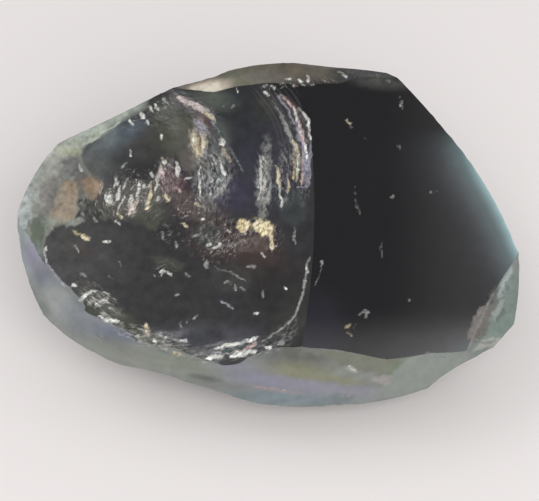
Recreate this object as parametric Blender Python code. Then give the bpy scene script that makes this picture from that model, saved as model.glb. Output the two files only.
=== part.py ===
"""A broken tektite: one lump of natural black glass, resting on a worn flat patch.

The lump is lens-shaped. Its sharp rim lies close to a plane that leans down towards the
front, so most of the shape is given in a rim frame: u to the right, v up the lean towards
the back, w away from the rim plane. The origin of the part is the middle of its underside.
"""

import math

import bmesh
import bpy
from mathutils import Matrix, Vector

MM = 0.001

# The rim frame
RIM_CENTRE = (0.16, 0.16, 13.5)
RIM_LEAN = 23.4  # degrees that the rim plane rises towards the back

# The lump that the fractures are struck from, in the rim frame
LUMP_CENTRE = (2.0, 0.0, 0.0)
LUMP_RADII = (33.4, 26.0, 16.5)
LUMP_RINGS = 40
LUMP_SEGMENTS = 72

# The smooth right face: its height over the rim plane falls to the right and the back
FACE_AT = (8.0, 0.0, 3.75)
FACE_FALL_U = 0.139
FACE_FALL_V = 0.079
FACE_CROWN = 0.25  # how far the middle of the face stands out

# The rippled left face
DOME_AT = (4.9, 0.0, 4.14)
DOME_FALL_U = -0.035
DOME_FALL_V = 0.082
DOME_BEND_U = 0.0019
RIPPLE_CENTRE = (-13.5, 4.0)
RIPPLE_STRETCH = 0.85
RIPPLE_PITCH = 4.6
RIPPLE_HEIGHT = 0.08
RIB_CENTRE = (0.0, 11.0)
RIB_HEIGHT = 0.22

# Shell-shaped hollows broken out of the underside, in the rim frame: the middle of each, the
# way it faces, its radius, and how deep it bites
HOLLOWS = {
    "back_hollow": ((3.0, 14.6, -9.3), (0.1, 0.8, -0.6), 34.0, 1.4),
    "right_hollow": ((22.6, 2.0, -6.8), (0.64, 0.33, -0.69), 30.0, 1.3),
    "left_hollow": ((-21.5, 4.5, -6.6), (-0.6, 0.28, -0.75), 28.0, 1.2),
    "front_hollow": ((-10.0, -14.0, -6.6), (-0.3, -0.8, -0.56), 26.0, 0.8),
}

# How the rippled face rolls over towards the front
ROLL_FROM = -7.5  # v where the roll starts
ROLL_REACH = 10.0
ROLL_DROP = 1.9

# Slabs that cut the fractures
SLAB = 60.0
SLAB_DEPTH = 26.0
FACE_BELLY = 0.002  # how quickly a fracture around the rim curves away from its edge

# Fractures around the rim, clockwise from the left end: the two ends of the rim edge (u, v, w),
# how far the edge bows out, and the angles from the rim plane of the face below the edge and
# of the face above it (0 for none)
RIM_EDGES = {
    "left_back": ((-31.0, 1.8, 0.3), (-25.6, 12.2, 0.2), 0.9, 40.0, 24.0),
    "back_left": ((-26.2, 11.7, 0.3), (-14.9, 16.8, 0.9), -0.2, 50.0, 0.0),
    "shoulder": ((-14.9, 16.9, 0.9), (-6.9, 20.9, 1.0), -0.15, 52.0, 0.0),
    "fin": ((-7.1, 20.9, 0.5), (8.8, 22.1, 0.5), 1.1, 53.0, 27.0),
    "top": ((8.8, 22.0, 0.5), (15.3, 21.2, 0.5), 0.1, 53.0, 34.0),
    "top_corner": ((15.6, 20.9, 0.7), (21.5, 13.9, 0.8), 0.1, 50.0, 0.0),
    "right": ((21.7, 13.7, 0.9), (30.3, -3.0, 0.8), 1.0, 46.0, 0.0),
    "right_end": ((30.5, -4.0, 0.6), (30.1, -13.0, 0.0), 0.6, 50.0, 0.0),
    "right_chip": ((31.4, -4.2, 0.2), (27.6, -16.2, 0.2), -0.2, 0.0, 36.0),
    "right_corner": ((30.5, -10.8, 0.1), (29.3, -15.4, 0.3), 0.3, 54.0, 0.0),
    "front_notch": ((29.9, -15.0, 0.2), (22.8, -17.1, 0.2), -0.6, 58.0, 0.0),
    "front_lobe": ((24.5, -17.5, 0.4), (20.2, -20.9, 0.1), 0.1, 58.0, 0.0),
    "lobe_top": ((24.4, -18.0, 1.4), (17.6, -21.8, 0.0), -0.1, 0.0, 46.0),
    "front_right": ((19.8, -20.2, 0.0), (7.8, -22.6, 0.05), 0.6, 58.0, 51.0),
    "front_mid": ((7.8, -22.6, 0.0), (-2.1, -22.2, 0.0), 0.4, 58.0, 45.0),
    "front_left": ((-2.1, -22.2, 0.1), (-12.0, -19.1, 0.1), -0.1, 56.0, 49.0),
    "left_front": ((-12.0, -19.2, 0.0), (-20.9, -16.0, 0.0), 0.4, 54.0, 46.0),
    "left_corner": ((-20.9, -16.0, 0.05), (-27.1, -11.3, 0.1), 0.35, 52.0, 34.0),
    "left_end": ((-27.1, -11.3, 0.1), (-31.0, 1.8, 0.3), 0.7, 44.0, 27.0),
}


def rim_matrix():
    """Rim frame to part frame, both in millimetres."""
    return Matrix.Translation(RIM_CENTRE) @ Matrix.Rotation(math.radians(RIM_LEAN), 4, "X")


def clear_scene():
    for item in list(bpy.data.objects):
        bpy.data.objects.remove(item, do_unlink=True)


def new_collection(name):
    group = bpy.data.collections.new(name)
    bpy.context.scene.collection.children.link(group)
    return group


def keep_in(group, item):
    """Put an object drawn in millimetres into its collection, at its real size."""
    item.scale = (MM, MM, MM)
    for old in list(item.users_collection):
        old.objects.unlink(item)
    group.objects.link(item)


def glass_material():
    material = bpy.data.materials.new("natural_glass")
    material.use_nodes = True
    shader = material.node_tree.nodes["Principled BSDF"]
    shader.inputs["Base Color"].default_value = (0.012, 0.012, 0.013, 1.0)
    shader.inputs["Roughness"].default_value = 0.08
    shader.inputs["Metallic"].default_value = 0.0
    return material


def add_lump(group):
    bpy.ops.mesh.primitive_uv_sphere_add(
        segments=LUMP_SEGMENTS, ring_count=LUMP_RINGS, radius=1.0
    )
    lump = bpy.context.active_object
    lump.name = "tektite"
    lump.data.name = "tektite"
    shape = Matrix.Translation(LUMP_CENTRE) @ Matrix.Diagonal((*LUMP_RADII, 1.0))
    lump.data.transform(rim_matrix() @ shape)
    keep_in(group, lump)
    return lump


def add_slab(group, name, frame, height, span, cells):
    """A thick slab whose lower side is the surface z = height(x, y) of a frame in millimetres."""
    bpy.ops.mesh.primitive_grid_add(x_subdivisions=cells, y_subdivisions=cells, size=span)
    slab = bpy.context.active_object
    slab.name = name
    shape = bmesh.new()
    shape.from_mesh(slab.data)
    raised = bmesh.ops.extrude_face_region(shape, geom=list(shape.faces))["geom"]
    top = {item for item in raised if isinstance(item, bmesh.types.BMVert)}
    for corner in shape.verts:
        low = min(height(corner.co.x, corner.co.y), SLAB_DEPTH - 1.0)
        corner.co.z = SLAB_DEPTH if corner in top else low
    bmesh.ops.recalc_face_normals(shape, faces=list(shape.faces))
    shape.to_mesh(slab.data)
    shape.free()
    slab.data.transform(frame)
    slab.hide_render = True
    slab.display_type = "WIRE"
    keep_in(group, slab)
    return slab


def strike(lump, cutters):
    for cutter in cutters:
        cut = lump.modifiers.new(cutter.name, "BOOLEAN")
        cut.operation = "DIFFERENCE"
        cut.solver = "EXACT"
        cut.object = cutter


def edge_frame(a, b, angle, below):
    """A frame on the rim edge from a to b: x along the edge, z out of the fracture face."""
    along = (b - a).normalized()
    outward = Vector((-along.y, along.x, 0.0)).normalized()
    lean = math.radians(angle)
    up = Vector((0.0, 0.0, -1.0 if below else 1.0))
    normal = outward * math.sin(lean) + up * math.cos(lean)
    normal = (normal - along * normal.dot(along)).normalized()
    side = normal.cross(along)
    turn = Matrix((along, side, normal)).transposed().to_4x4()
    return rim_matrix() @ Matrix.Translation((a + b) / 2.0) @ turn


def rim_fractures(group):
    slabs = []
    for name, (start, end, bow, under, over) in RIM_EDGES.items():
        a, b = Vector(start), Vector(end)
        half = (b - a).length / 2.0
        for side, angle in (("under", under), ("over", over)):
            if not angle:
                continue
            rise = bow * math.sin(math.radians(angle))

            def height(x, y, rise=rise, half=half):
                bulge = rise * (1.0 - (x / half) ** 2)
                if rise > 0.0:
                    bulge = max(bulge, 0.0)
                return bulge - FACE_BELLY * y * y

            frame = edge_frame(a, b, angle, side == "under")
            slab = add_slab(group, name + "_" + side, frame, height, SLAB, 20)
            slabs.append(slab)
    return slabs


def ripple(x, y):
    """Waves in the rippled face, round a point near its middle, strongest up its right side."""
    dx, dy = x - RIPPLE_CENTRE[0], RIPPLE_STRETCH * (y - RIPPLE_CENTRE[1])
    reach = math.hypot(dx, dy)
    crest = math.exp(-(((x - RIB_CENTRE[0]) / 5.0) ** 2) - ((y - RIB_CENTRE[1]) / 7.0) ** 2)
    calm = min(1.0, max(0.0, (reach - 4.0) / 5.0)) * min(1.0, max(0.0, (5.5 - x) / 3.0))
    depth = calm * (RIPPLE_HEIGHT + RIB_HEIGHT * crest)
    return depth * math.sin(2.0 * math.pi * reach / RIPPLE_PITCH)


def main_faces(group):
    def face(x, y):
        du, dv = x - FACE_AT[0], y - FACE_AT[1]
        flat = FACE_AT[2] - FACE_FALL_U * du - FACE_FALL_V * dv
        crown = FACE_CROWN * (1.0 - ((x - 17.0) / 14.0) ** 2 - (y / 20.0) ** 2)
        return flat + max(crown, -FACE_CROWN)

    def dome(x, y):
        du, dv = x - DOME_AT[0], y - DOME_AT[1]
        base = DOME_AT[2] - DOME_FALL_U * du - DOME_FALL_V * dv
        base -= DOME_BEND_U * du * du
        past = max(0.0, ROLL_FROM - y) / ROLL_REACH
        inside = min(1.0, max(0.0, (2.0 - x) / 8.0))
        base -= ROLL_DROP * past * past * inside * inside * (3.0 - 2.0 * inside)
        return base + ripple(x, y)

    right_face = add_slab(group, "right_face", rim_matrix(), face, 72.0, 24)
    rippled_face = add_slab(group, "rippled_face", rim_matrix(), dome, 72.0, 80)
    rippled_face.data.shade_smooth()
    return [right_face, rippled_face]


def hollows(group):
    """Spheres sunk into the underside."""
    cutters = []
    for name, (spot, out, radius, bite) in HOLLOWS.items():
        middle = Vector(spot) + Vector(out).normalized() * (radius - bite)
        bpy.ops.mesh.primitive_ico_sphere_add(subdivisions=5, radius=radius)
        ball = bpy.context.active_object
        ball.name = name
        ball.data.transform(rim_matrix() @ Matrix.Translation(middle))
        ball.data.shade_smooth()
        ball.hide_render = True
        ball.display_type = "WIRE"
        keep_in(group, ball)
        cutters.append(ball)
    return cutters


def rest_patch(group):
    def flat(x, y):
        return 0.0

    down = Matrix.Rotation(math.pi, 4, "X")
    return [add_slab(group, "rest_patch", down, flat, 120.0, 2)]


def build():
    clear_scene()
    stone = new_collection("tektite")
    cutters = new_collection("cutters")
    cutters.hide_render = True
    lump = add_lump(stone)
    slabs = rim_fractures(cutters) + hollows(cutters)
    slabs += main_faces(cutters) + rest_patch(cutters)
    strike(lump, slabs)
    lump.data.materials.clear()
    lump.data.materials.append(glass_material())
    lump.data.shade_smooth()


build()
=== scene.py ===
import math
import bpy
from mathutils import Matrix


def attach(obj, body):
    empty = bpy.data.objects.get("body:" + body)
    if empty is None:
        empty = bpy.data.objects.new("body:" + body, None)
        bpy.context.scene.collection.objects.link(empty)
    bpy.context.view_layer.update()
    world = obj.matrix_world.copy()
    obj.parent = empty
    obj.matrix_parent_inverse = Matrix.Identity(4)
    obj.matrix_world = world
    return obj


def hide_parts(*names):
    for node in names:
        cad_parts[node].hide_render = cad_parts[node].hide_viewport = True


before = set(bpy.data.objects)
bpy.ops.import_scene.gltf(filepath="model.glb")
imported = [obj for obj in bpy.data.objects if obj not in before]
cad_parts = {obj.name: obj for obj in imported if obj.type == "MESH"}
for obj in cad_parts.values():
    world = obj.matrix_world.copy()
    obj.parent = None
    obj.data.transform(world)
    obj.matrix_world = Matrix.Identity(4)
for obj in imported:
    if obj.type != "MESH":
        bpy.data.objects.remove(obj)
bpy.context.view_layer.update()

from types import SimpleNamespace

import bpy
import numpy as np
from mathutils import Matrix, Vector

# A broken tektite, one lump of natural black glass, on a pale table. The stone's surface is worked
# out in its rim frame: u to the right, v up the lean of the rim plane, w away from it, all in
# millimetres. Marks on the upper side are placed in picture coordinates, x and y in pixels of a
# 539 x 501 picture from the camera below, and each lies on the surface under its pixel.

MM = 0.001

# ---------------- written tables
BLACK = (0.008, 0.008, 0.009)
# Named colours for the tables below. The pale ones paint glints, highlights where the glass catches the
# light
WHITE = (0.74, 0.74, 0.69)
COLOURS = {
    "white": WHITE,
    "silver": (0.30, 0.31, 0.29),
    "lilac": (0.33, 0.31, 0.38),
    "cream": (0.66, 0.57, 0.39),
    "gold": (0.46, 0.37, 0.22),
    "pink": (0.56, 0.41, 0.38),
    "brown": (0.055, 0.036, 0.032),
    "maroon": (0.085, 0.040, 0.048),
    "violet": (0.050, 0.045, 0.075),
    "teal": (0.045, 0.080, 0.075),
    "olive": (0.075, 0.078, 0.055),
}


def read_word(word):
    """A named colour, one number, or a place or colour written as numbers with commas."""
    if word in COLOURS:
        return COLOURS[word]
    numbers = tuple(map(float, word.split(",")))
    return numbers if len(numbers) > 1 else numbers[0]


def read_rows(text):
    """The rows of a written table, less its comments. A long row goes on after a backslash."""
    lines = [line for line in text.splitlines() if line and not line.startswith("#")]
    return [[read_word(word) for word in line.split()] for line in lines]


# ---------------- camera
PICTURE = (539, 501)
PIXEL = 0.124  # mm at the aim
AIM = np.array((0.36, -0.64, 10.6))
ELEVATION = math.radians(45.0)
DISTANCE = 240.0
SENSOR = 36.0
NEAREST = 0.01  # m
BACK = np.array((0.0, -math.cos(ELEVATION), math.sin(ELEVATION)))
UP = np.array((0.0, math.sin(ELEVATION), math.cos(ELEVATION)))


def picture_of(points):
    """Picture coordinates of points in millimetres."""
    offset = points - (AIM + BACK * DISTANCE)
    scale = DISTANCE / (-(offset @ BACK) * PIXEL)
    return PICTURE[0] / 2 + offset[:, 0] * scale, PICTURE[1] / 2 - (offset @ UP) * scale


def add_facing(data, place, back):
    """Adds a camera or lamp at a place in metres, with its back turned toward a direction."""
    thing = bpy.data.objects.new(data.name, data)
    bpy.context.scene.collection.objects.link(thing)
    turn = Vector(back).to_track_quat("Z", "Y").to_matrix().to_4x4()
    thing.matrix_world = Matrix.Translation(place) @ turn
    return thing


def add_camera():
    data = bpy.data.cameras.new("camera")
    data.sensor_width = SENSOR
    data.lens = SENSOR * DISTANCE / (PICTURE[0] * PIXEL)
    data.clip_start = NEAREST
    bpy.context.scene.camera = add_facing(data, Vector((AIM + BACK * DISTANCE) * MM), BACK)


# ---------------- noise and outlines
NOISE_CELLS = 128  # after so many units the noise repeats


def noise(x, y, seed):
    """Smooth value noise between -1 and 1, one feature a unit."""
    cells = NOISE_CELLS
    values = np.random.default_rng(seed).uniform(-1.0, 1.0, (cells, cells))
    i, j = np.floor(x).astype(int), np.floor(y).astype(int)
    s, t = x - i, y - j
    s, t = s * s * (3.0 - 2.0 * s), t * t * (3.0 - 2.0 * t)
    i0, i1, j0, j1 = i % cells, (i + 1) % cells, j % cells, (j + 1) % cells
    low = values[i0, j0] * (1.0 - s) + values[i1, j0] * s
    high = values[i0, j1] * (1.0 - s) + values[i1, j1] * s
    return low * (1.0 - t) + high * t


def rough_noise(x, y, seed, octaves=3):
    """Noise with ever finer and fainter noise over it, between -1 and 1."""
    total, scale, size = 0.0, 1.0, 0.0
    for k in range(octaves):
        total = total + scale * noise(x * 2.0**k, y * 2.0**k, seed + k)
        size += scale
        scale *= 0.55
    return total / size


def bend(x, y, reach, grain, seed, octaves=3):
    """Moves points about by up to reach, so that outlines laid over them turn out uneven."""
    shift_x = reach * rough_noise(x / grain, y / grain, seed, octaves)
    shift_y = reach * rough_noise(x / grain, y / grain, seed + 4, octaves)
    return x + shift_x, y + shift_y


def smooth(low, high, x):
    """0 up to low, 1 from high on, and a smooth step between them."""
    t = np.clip((x - low) / (high - low), 0.0, 1.0)
    return t * t * (3.0 - 2.0 * t)


def blob(x, y, centre, radii, turn=0.0, edge=0.35):
    """1 inside an ellipse in the picture, 0 outside it."""
    c, s = math.cos(math.radians(turn)), math.sin(math.radians(turn))
    dx, dy = x - centre[0], y - centre[1]
    reach = np.hypot((c * dx + s * dy) / radii[0], (c * dy - s * dx) / radii[1])
    return 1.0 - smooth(1.0 - edge, 1.0 + edge, reach)


def densest(x, y, patches):
    """How dense the densest patch is over each point."""
    most = np.zeros(len(x))
    for centre, radii, tilt, dense in patches:
        most = np.maximum(most, blob(x, y, centre, radii, tilt, 0.5) * dense)
    return most


def zone(x, y, points, soft):
    """1 inside a polygon in the picture, 0 outside it, over a border soft pixels wide."""
    inside = np.zeros(x.shape, bool)
    for (ax, ay), (bx, by) in zip(points, points[1:] + points[:1]):
        if ay != by:
            crosses = (ay > y) != (by > y)
            inside ^= crosses & (x < ax + (y - ay) * (bx - ax) / (by - ay))
    away = line_distance(x, y, points + points[:1])[0]
    return np.clip(0.5 + np.where(inside, away, -away) / soft, 0.0, 1.0)


def line_distance(x, y, points):
    """Distance from a polyline, and how far along it, 0 to 1."""
    best, along = np.full(x.shape, 1e9), np.zeros(x.shape)
    lengths = [math.dist(p, q) for p, q in zip(points, points[1:])]
    total, done = sum(lengths), 0.0
    for (ax, ay), (bx, by), length in zip(points, points[1:], lengths):
        t = np.clip(((x - ax) * (bx - ax) + (y - ay) * (by - ay)) / length**2, 0.0, 1.0)
        d = np.hypot(x - ax - t * (bx - ax), y - ay - t * (by - ay))
        near = d < best
        best = np.where(near, d, best)
        along = np.where(near, (done + t * length) / total, along)
        done += length
    return best, along


# ---------------- surface, in mm
RIM_CENTRE = np.array((0.16, 0.16, 13.5))
LEAN = math.radians(23.4)
AXES = np.array(
    ((1.0, 0.0, 0.0), (0.0, math.cos(LEAN), math.sin(LEAN)), (0.0, -math.sin(LEAN), math.cos(LEAN)))
)
LUMP_CENTRE_U = 2.0
LUMP_RADII = (33.4, 26.0, 16.5)
BELLY = 0.002

# Rim edges, clockwise from the left end: both ends (u, v, w), how far the edge bows out, and the
# angles from the rim plane of the fracture below it and of the one above it (0 for none)
RIM_EDGES = read_rows("""
-31,1.8,.3 -25.6,12.2,.2 .9 40 24
-26.2,11.7,.3 -14.9,16.8,.9 -.2 50 0
-14.9,16.9,.9 -6.9,20.9,1 -.15 52 0
-7.1,20.9,.5 8.8,22.1,.5 1.1 53 27
8.8,22,.5 15.3,21.2,.5 .1 53 34
15.6,20.9,.7 21.5,13.9,.8 .1 50 0
21.7,13.7,.9 30.3,-3,.8 1 46 0
30.5,-4,.6 30.1,-13,0 .6 50 0
31.4,-4.2,.2 27.6,-16.2,.2 -.2 0 36
30.5,-10.8,.1 29.3,-15.4,.3 .3 54 0
29.9,-15,.2 22.8,-17.1,.2 -.6 58 0
24.5,-17.5,.4 20.2,-20.9,.1 .1 58 0
24.4,-18,1.4 17.6,-21.8,0 -.1 0 46
19.8,-20.2,0 7.8,-22.6,.05 .6 58 51
7.8,-22.6,0 -2.1,-22.2,0 .4 58 45
-2.1,-22.2,.1 -12,-19.1,.1 -.1 56 49
-12,-19.2,0 -20.9,-16,0 .4 54 46
-20.9,-16,.05 -27.1,-11.3,.1 .35 52 37
-27.1,-11.3,.1 -31,1.8,.3 .7 44 27
""")

# Hollows in the underside: middle, facing, radius, bite
HOLLOWS = read_rows("""
3,14.6,-9.3 .1,.8,-.6 34 1.4
22.6,2,-6.8 .64,.33,-.69 30 1.3
-21.5,4.5,-6.6 -.6,.28,-.75 28 1.2
-10,-14,-6.6 -.3,-.8,-.56 26 .8
""")
FAR = 99.0

# The smooth right face: height at RIGHT_FROM, its slopes along u and v, and a low crown on it
RIGHT_FROM = 8.0
RIGHT_PLANE = (3.75, -0.139, -0.079)
CROWN_HEIGHT, CROWN_MIDDLE, CROWN_RADII = 0.25, 17.0, (14.0, 20.0)

# The rippled left face, the dome: the same, how much it curves, and its roll over at the front
LEFT_FROM = 4.9
LEFT_PLANE = (4.14, 0.035, -0.082)
LEFT_CURVE = 0.0019
ROLL_DEPTH, ROLL_U, ROLL_V = 1.9, (2.0, 8.0), (-7.5, 10.0)  # each: where it starts, over how much


def to_world(u, v, w):
    return RIM_CENTRE + np.stack((u, v, w), axis=-1) @ AXES


def unit(vector):
    return vector / np.linalg.norm(vector)


def fracture(u, v, start, end, bow, angle, below):
    """Height w of a fracture surface struck from a rim edge."""
    a, b = np.array(start), np.array(end)
    along = unit(b - a)
    lean = math.radians(angle)
    outward = unit(np.array((-along[1], along[0], 0.0)))
    normal = outward * math.sin(lean) + np.array((0.0, 0.0, -1.0 if below else 1.0)) * math.cos(lean)
    normal = unit(normal - along * (normal @ along))
    side = np.cross(normal, along)
    middle = (a + b) / 2.0
    half = np.linalg.norm(b - a) / 2.0
    rise = bow * math.sin(lean)
    du, dv = u - middle[0], v - middle[1]
    dw = -(normal[0] * du + normal[1] * dv) / normal[2]
    for _ in range(3):
        x = along[0] * du + along[1] * dv + along[2] * dw
        y = side[0] * du + side[1] * dv + side[2] * dw
        bulge = rise * (1.0 - (x / half) ** 2)
        if rise > 0.0:
            bulge = np.maximum(bulge, 0.0)
        out = bulge - BELLY * y * y
        dw = (out - normal[0] * du - normal[1] * dv) / normal[2]
    return middle[2] + dw


def lump(u, v, sign):
    inside = 1.0 - ((u - LUMP_CENTRE_U) / LUMP_RADII[0]) ** 2 - (v / LUMP_RADII[1]) ** 2
    return sign * LUMP_RADII[2] * np.sqrt(np.maximum(inside, 0.0))


def right_face(u, v):
    height, slope_u, slope_v = RIGHT_PLANE
    crown = CROWN_HEIGHT * (1.0 - ((u - CROWN_MIDDLE) / CROWN_RADII[0]) ** 2 - (v / CROWN_RADII[1]) ** 2)
    return height + slope_u * (u - RIGHT_FROM) + slope_v * v + np.maximum(crown, -CROWN_HEIGHT)


def left_face(u, v):
    height, slope_u, slope_v = LEFT_PLANE
    du = u - LEFT_FROM
    past = np.maximum(0.0, ROLL_V[0] - v) / ROLL_V[1]
    inside = np.clip((ROLL_U[0] - u) / ROLL_U[1], 0.0, 1.0)
    roll = ROLL_DEPTH * past * past * inside * inside * (3.0 - 2.0 * inside)
    return height + slope_u * du + slope_v * v - LEFT_CURVE * du * du - roll


FACE, DOME = 0, 1  # places of the two main faces in upper_sides()
CHIPPED_U, CHIPPED_V = (10.0, -2.0), (0.0, 8.0)  # mm, where the chipping grows and where it eases


def upper_sides(u, v):
    """Heights of all upper faces. The small ones round the rim broke off unevenly."""
    sides = [right_face(u, v), left_face(u, v)]
    chipped = (smooth(*CHIPPED_U, u) * 0.20 + 0.08) * (1.0 - 0.6 * smooth(*CHIPPED_V, v))
    broken = chipped * (0.6 * rough_noise(u / 1.3, v / 1.3, 41) + 0.4 * noise(u / 7.0, v / 7.0, 45))
    for start, end, bow, under, over in RIM_EDGES:
        if over:
            sides.append(fracture(u, v, start, end, bow, over, False) + broken)
    sides.append(lump(u, v, 1.0))
    return np.array(sides)


RIPPLE_HEIGHT, RIPPLE_LENGTH = 0.05, 1.6  # mm


def ripples(u, v, spot, length):
    """Faint rounds of a shell-like fracture about the spot it was struck from, in plan."""
    reach = np.hypot(u - spot[0], v - spot[1]) + 0.5 * noise(u / 4.0, v / 4.0, 51)
    share = smooth(1.0, 4.0, reach) * (1.0 - smooth(12.0, 20.0, reach))
    share = share * (0.6 + 0.4 * noise(u / 5.0, v / 5.0, 52))
    return RIPPLE_HEIGHT * share * np.cos(2.0 * math.pi * reach / length)


def lower_side(u, v):
    """Height of the underside: the highest of its fractures, hollows and the flat patch."""
    sides = []
    for start, end, bow, under, over in RIM_EDGES:
        if under:
            struck = ((start[0] + end[0]) / 2.0, (start[1] + end[1]) / 2.0)
            wavy = ripples(u, v, struck, RIPPLE_LENGTH + 0.01 * under)
            sides.append(fracture(u, v, start, end, bow, under, True) + wavy)
    for spot, facing, radius, bite in HOLLOWS:
        middle = np.array(spot) + unit(np.array(facing)) * (radius - bite)
        inside = radius**2 - (u - middle[0]) ** 2 - (v - middle[1]) ** 2
        bowl = middle[2] + np.sqrt(np.maximum(inside, 0.0)) + ripples(u, v, spot, RIPPLE_LENGTH + 0.1)
        sides.append(np.where(inside > 0.0, bowl, -FAR))
    sides.append(lump(u, v, -1.0))
    sides.append(-(RIM_CENTRE[2] + v * math.sin(LEAN)) / math.cos(LEAN))
    return np.array(sides).max(axis=0)


# ---------------- relief
# Rounds of the dome: their middle, how far out and how wide each is, in pixels, and how high, in
# mm. The ribs outside the flute fade in and out, and faint rounds fill the rest of the dome.
WAVE_CENTRE = (128.0, 190.0)
CREST = (104.0, 8.0, 0.34)
FLUTE = (134.0, 16.0, -0.50)
FLUTE_FADE = 3.4  # mm from the edge of the dome
RIBS_IN, RIBS_OUT, RIBS_TOP = (154.0, 162.0), (196.0, 204.0), 171.0
RIB_STEP, RIB_HEIGHT = 9.5, 0.11
FAINT_STEP, FAINT_HEIGHT, FAINT_TOP, FAINT_IN = 34.0, 0.05, 4.0, (60.0, 110.0)
UPPER_IN, UPPER_OUT = (-14.0, 12.0), (60.0, 82.0)  # degrees round the middle
FIBRE_HEIGHT, LUMP_HEIGHT = 0.16, 0.05  # mm


def ring(reach, place, width, height):
    """A rounded ridge, or a hollow where the height is negative, that runs round the middle."""
    return height * np.exp(-(((reach - place) / width) ** 2))


def waves(x, y, edge):
    """Rounds of the shell-like fracture: a crest, a flute outside it, then close ribs."""
    dx, dy = x - WAVE_CENTRE[0], y - WAVE_CENTRE[1]
    reach = np.hypot(dx, dy) + 2.5 * noise(x / 40.0, y / 40.0, 3)
    turn = np.degrees(np.arctan2(-dy, dx))
    upper = smooth(*UPPER_IN, turn) * (1.0 - smooth(*UPPER_OUT, turn))
    flute = ring(reach, *FLUTE) * smooth(0.0, FLUTE_FADE, edge)
    ribs = smooth(*RIBS_IN, reach) * (1.0 - smooth(*RIBS_OUT, reach))
    ribs = ribs * RIB_HEIGHT * np.cos(2.0 * math.pi * (reach - RIBS_TOP) / RIB_STEP)
    faint = FAINT_HEIGHT * np.cos(2.0 * math.pi * (reach - FAINT_TOP) / FAINT_STEP)
    faint = faint * smooth(*FAINT_IN, reach)
    return upper * (ring(reach, *CREST) + flute + ribs) + faint * (1.0 - upper)


def splinters(x, y):
    """Small splintered steps in the silky patches of the dome, and low lumps all over it."""
    reach, turn = rounds(x, y)
    fibres = rough_noise(reach / 5.0, turn / 14.0, 61, 3) * FIBRE_HEIGHT
    return densest(x, y, SILKS) * fibres + LUMP_HEIGHT * rough_noise(x / 30.0, y / 30.0, 65, 3)


def rounds(x, y):
    """How far from the middle of the rounds, and how far round them, in pixels."""
    dx, dy = x - WAVE_CENTRE[0], y - WAVE_CENTRE[1]
    reach = np.hypot(dx, dy) + 2.5 * noise(x / 22.0, y / 22.0, 63) + 0.8 * noise(x / 8.0, y / 8.0, 64)
    return reach, np.arctan2(dy, dx) * np.maximum(reach, 25.0)


def upper_detail(x, y, u, v, edge, which):
    """What the small relief adds to the height of the upper side."""
    dome, face = which == DOME, which == FACE
    side = ~(dome | face)
    relief = np.where(dome, waves(x, y, edge) + splinters(x, y), 0.0)
    relief = relief + np.where(face, 0.02 * noise(u / 9.0, v / 9.0, 11), 0.0)
    relief = relief + np.where(side, 0.12 * rough_noise(u / 4.0, v / 4.0, 15), 0.0)
    return relief * smooth(0.0, 1.0, edge)
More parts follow.
